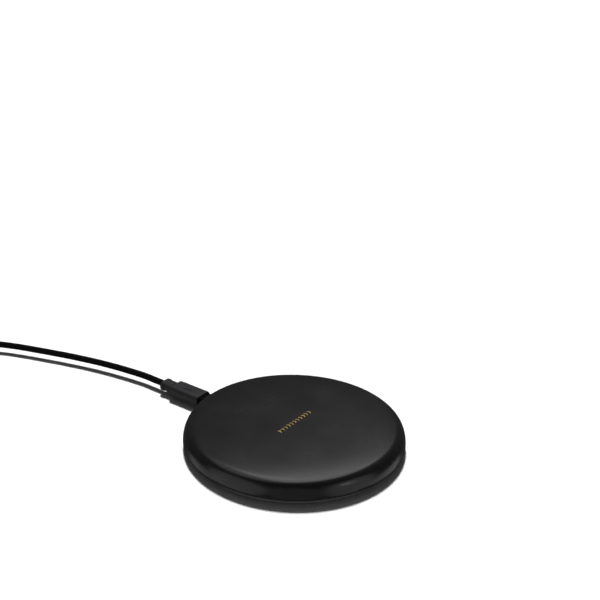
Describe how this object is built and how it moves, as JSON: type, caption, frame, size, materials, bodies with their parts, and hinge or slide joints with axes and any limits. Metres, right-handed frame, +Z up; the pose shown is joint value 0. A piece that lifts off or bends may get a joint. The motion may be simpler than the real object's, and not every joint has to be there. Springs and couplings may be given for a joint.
{
  "type": "wireless charging pad",
  "caption": "Round flat wireless charging pad with a rolled edge, a grip mat underneath, an internal coil and board, and a plug-in charging lead that pulls out and bends.",
  "frame": {"origin": "on the pad's axis at the plane the pad rests on, the underside of the grip mat", "axes": "+Z up out of the charging face; +Y out of the port, along which the plug pulls out; +X to the right of +Y seen from above"},
  "size_m": [0.1578, 0.2649, 0.0114],
  "materials": {
    "cover": "matte black moulded plastic with a fine spark-eroded grain",
    "mat": "matte silicone with fine ribs",
    "mold": "satin black moulded jacket",
    "inner_mold": "deep black satin",
    "jacket": "satin black cable jacket",
    "plated_steel": "nickel-plated sheet",
    "screw_steel": "zinc-plated",
    "gold": "gold-plated",
    "litz": "enamelled copper litz wire",
    "ferrite": "pressed dark ferrite",
    "tape": "adhesive tape",
    "board": "solder-masked glass-epoxy board",
    "chip": "matte epoxy package",
    "ceramic": "ceramic body",
    "inductor": "pressed powder core",
    "contact_plastic": "black contact carrier",
    "window": "smoky clear light guide",
    "led": "LED package"
  },
  "bodies": {
    "pad": {"top_cover": "cover", "bottom_cover": "cover", "anti_slip_mat": "mat", "cover_screw_1": "screw_steel", "cover_screw_2": "screw_steel", "cover_screw_3": "screw_steel", "cover_screw_4": "screw_steel", "ferrite_shield": "ferrite", "coil_tape": "tape", "coil_winding": "litz", "coil_thermistor": "chip", "main_board": "board", "controller_chip": "chip", "bridge_chip": "chip", "resonant_capacitor_1": "ceramic", "resonant_capacitor_2": "ceramic", "resonant_capacitor_3": "ceramic", "resonant_capacitor_4": "ceramic", "input_capacitor": "ceramic", "power_inductor": "inductor", "crystal": "plated_steel", "sense_resistor": "chip", "status_led": "led", "light_guide": "window", "port_shell": "plated_steel", "port_insert": "contact_plastic"},
    "plug": {"plug_overmold": "mold", "plug_inner_mold": "inner_mold", "plug_shell": "plated_steel", "plug_contact_carrier": "contact_plastic", "plug_cable_stub": "jacket"},
    "plug_latches": {"plug_latch_left": "plated_steel", "plug_latch_right": "plated_steel"},
    "cable_near": {"cable_near": "jacket"},
    "cable_mid": {"cable_mid": "jacket"},
    "cable_far": {"cable_far": "jacket"},
    "usb_a": {"usb_a_overmold": "mold", "usb_a_shell": "plated_steel", "usb_a_tongue": "contact_plastic", "usb_a_contact_1": "gold", "usb_a_contact_2": "gold", "usb_a_contact_3": "gold", "usb_a_contact_4": "gold", "usb_a_cable_stub": "jacket"}
  },
  "joints": [
    {"name": "plug_slide", "type": "slide", "parent": "pad", "child": "plug", "axis": [0, 1, 0], "range_m": [0, 0.03]},
    {"name": "latch_flex", "type": "hinge", "parent": "plug", "child": "plug_latches", "pos_m": [0, 0.051, 0.00347], "axis": [-1, 0, 0], "range_deg": [0, 2]},
    {"name": "cable_bend_1", "type": "hinge", "parent": "plug", "child": "cable_near", "pos_m": [0, 0.0815, 0.0039], "axis": [0, 0, 1], "range_deg": [-25, 25]},
    {"name": "cable_bend_2", "type": "hinge", "parent": "cable_near", "child": "cable_mid", "pos_m": [-0.0042, 0.121, 0.0039], "axis": [0, 0, 1], "range_deg": [-25, 25]},
    {"name": "cable_bend_3", "type": "hinge", "parent": "cable_mid", "child": "cable_far", "pos_m": [-0.0222, 0.176, 0.0039], "axis": [0, 0, 1], "range_deg": [-25, 25]},
    {"name": "usb_a_bend", "type": "hinge", "parent": "cable_far", "child": "usb_a", "pos_m": [-0.065, 0.209, 0.0039], "axis": [0, 0, 1], "range_deg": [-25, 25]}
  ]
}
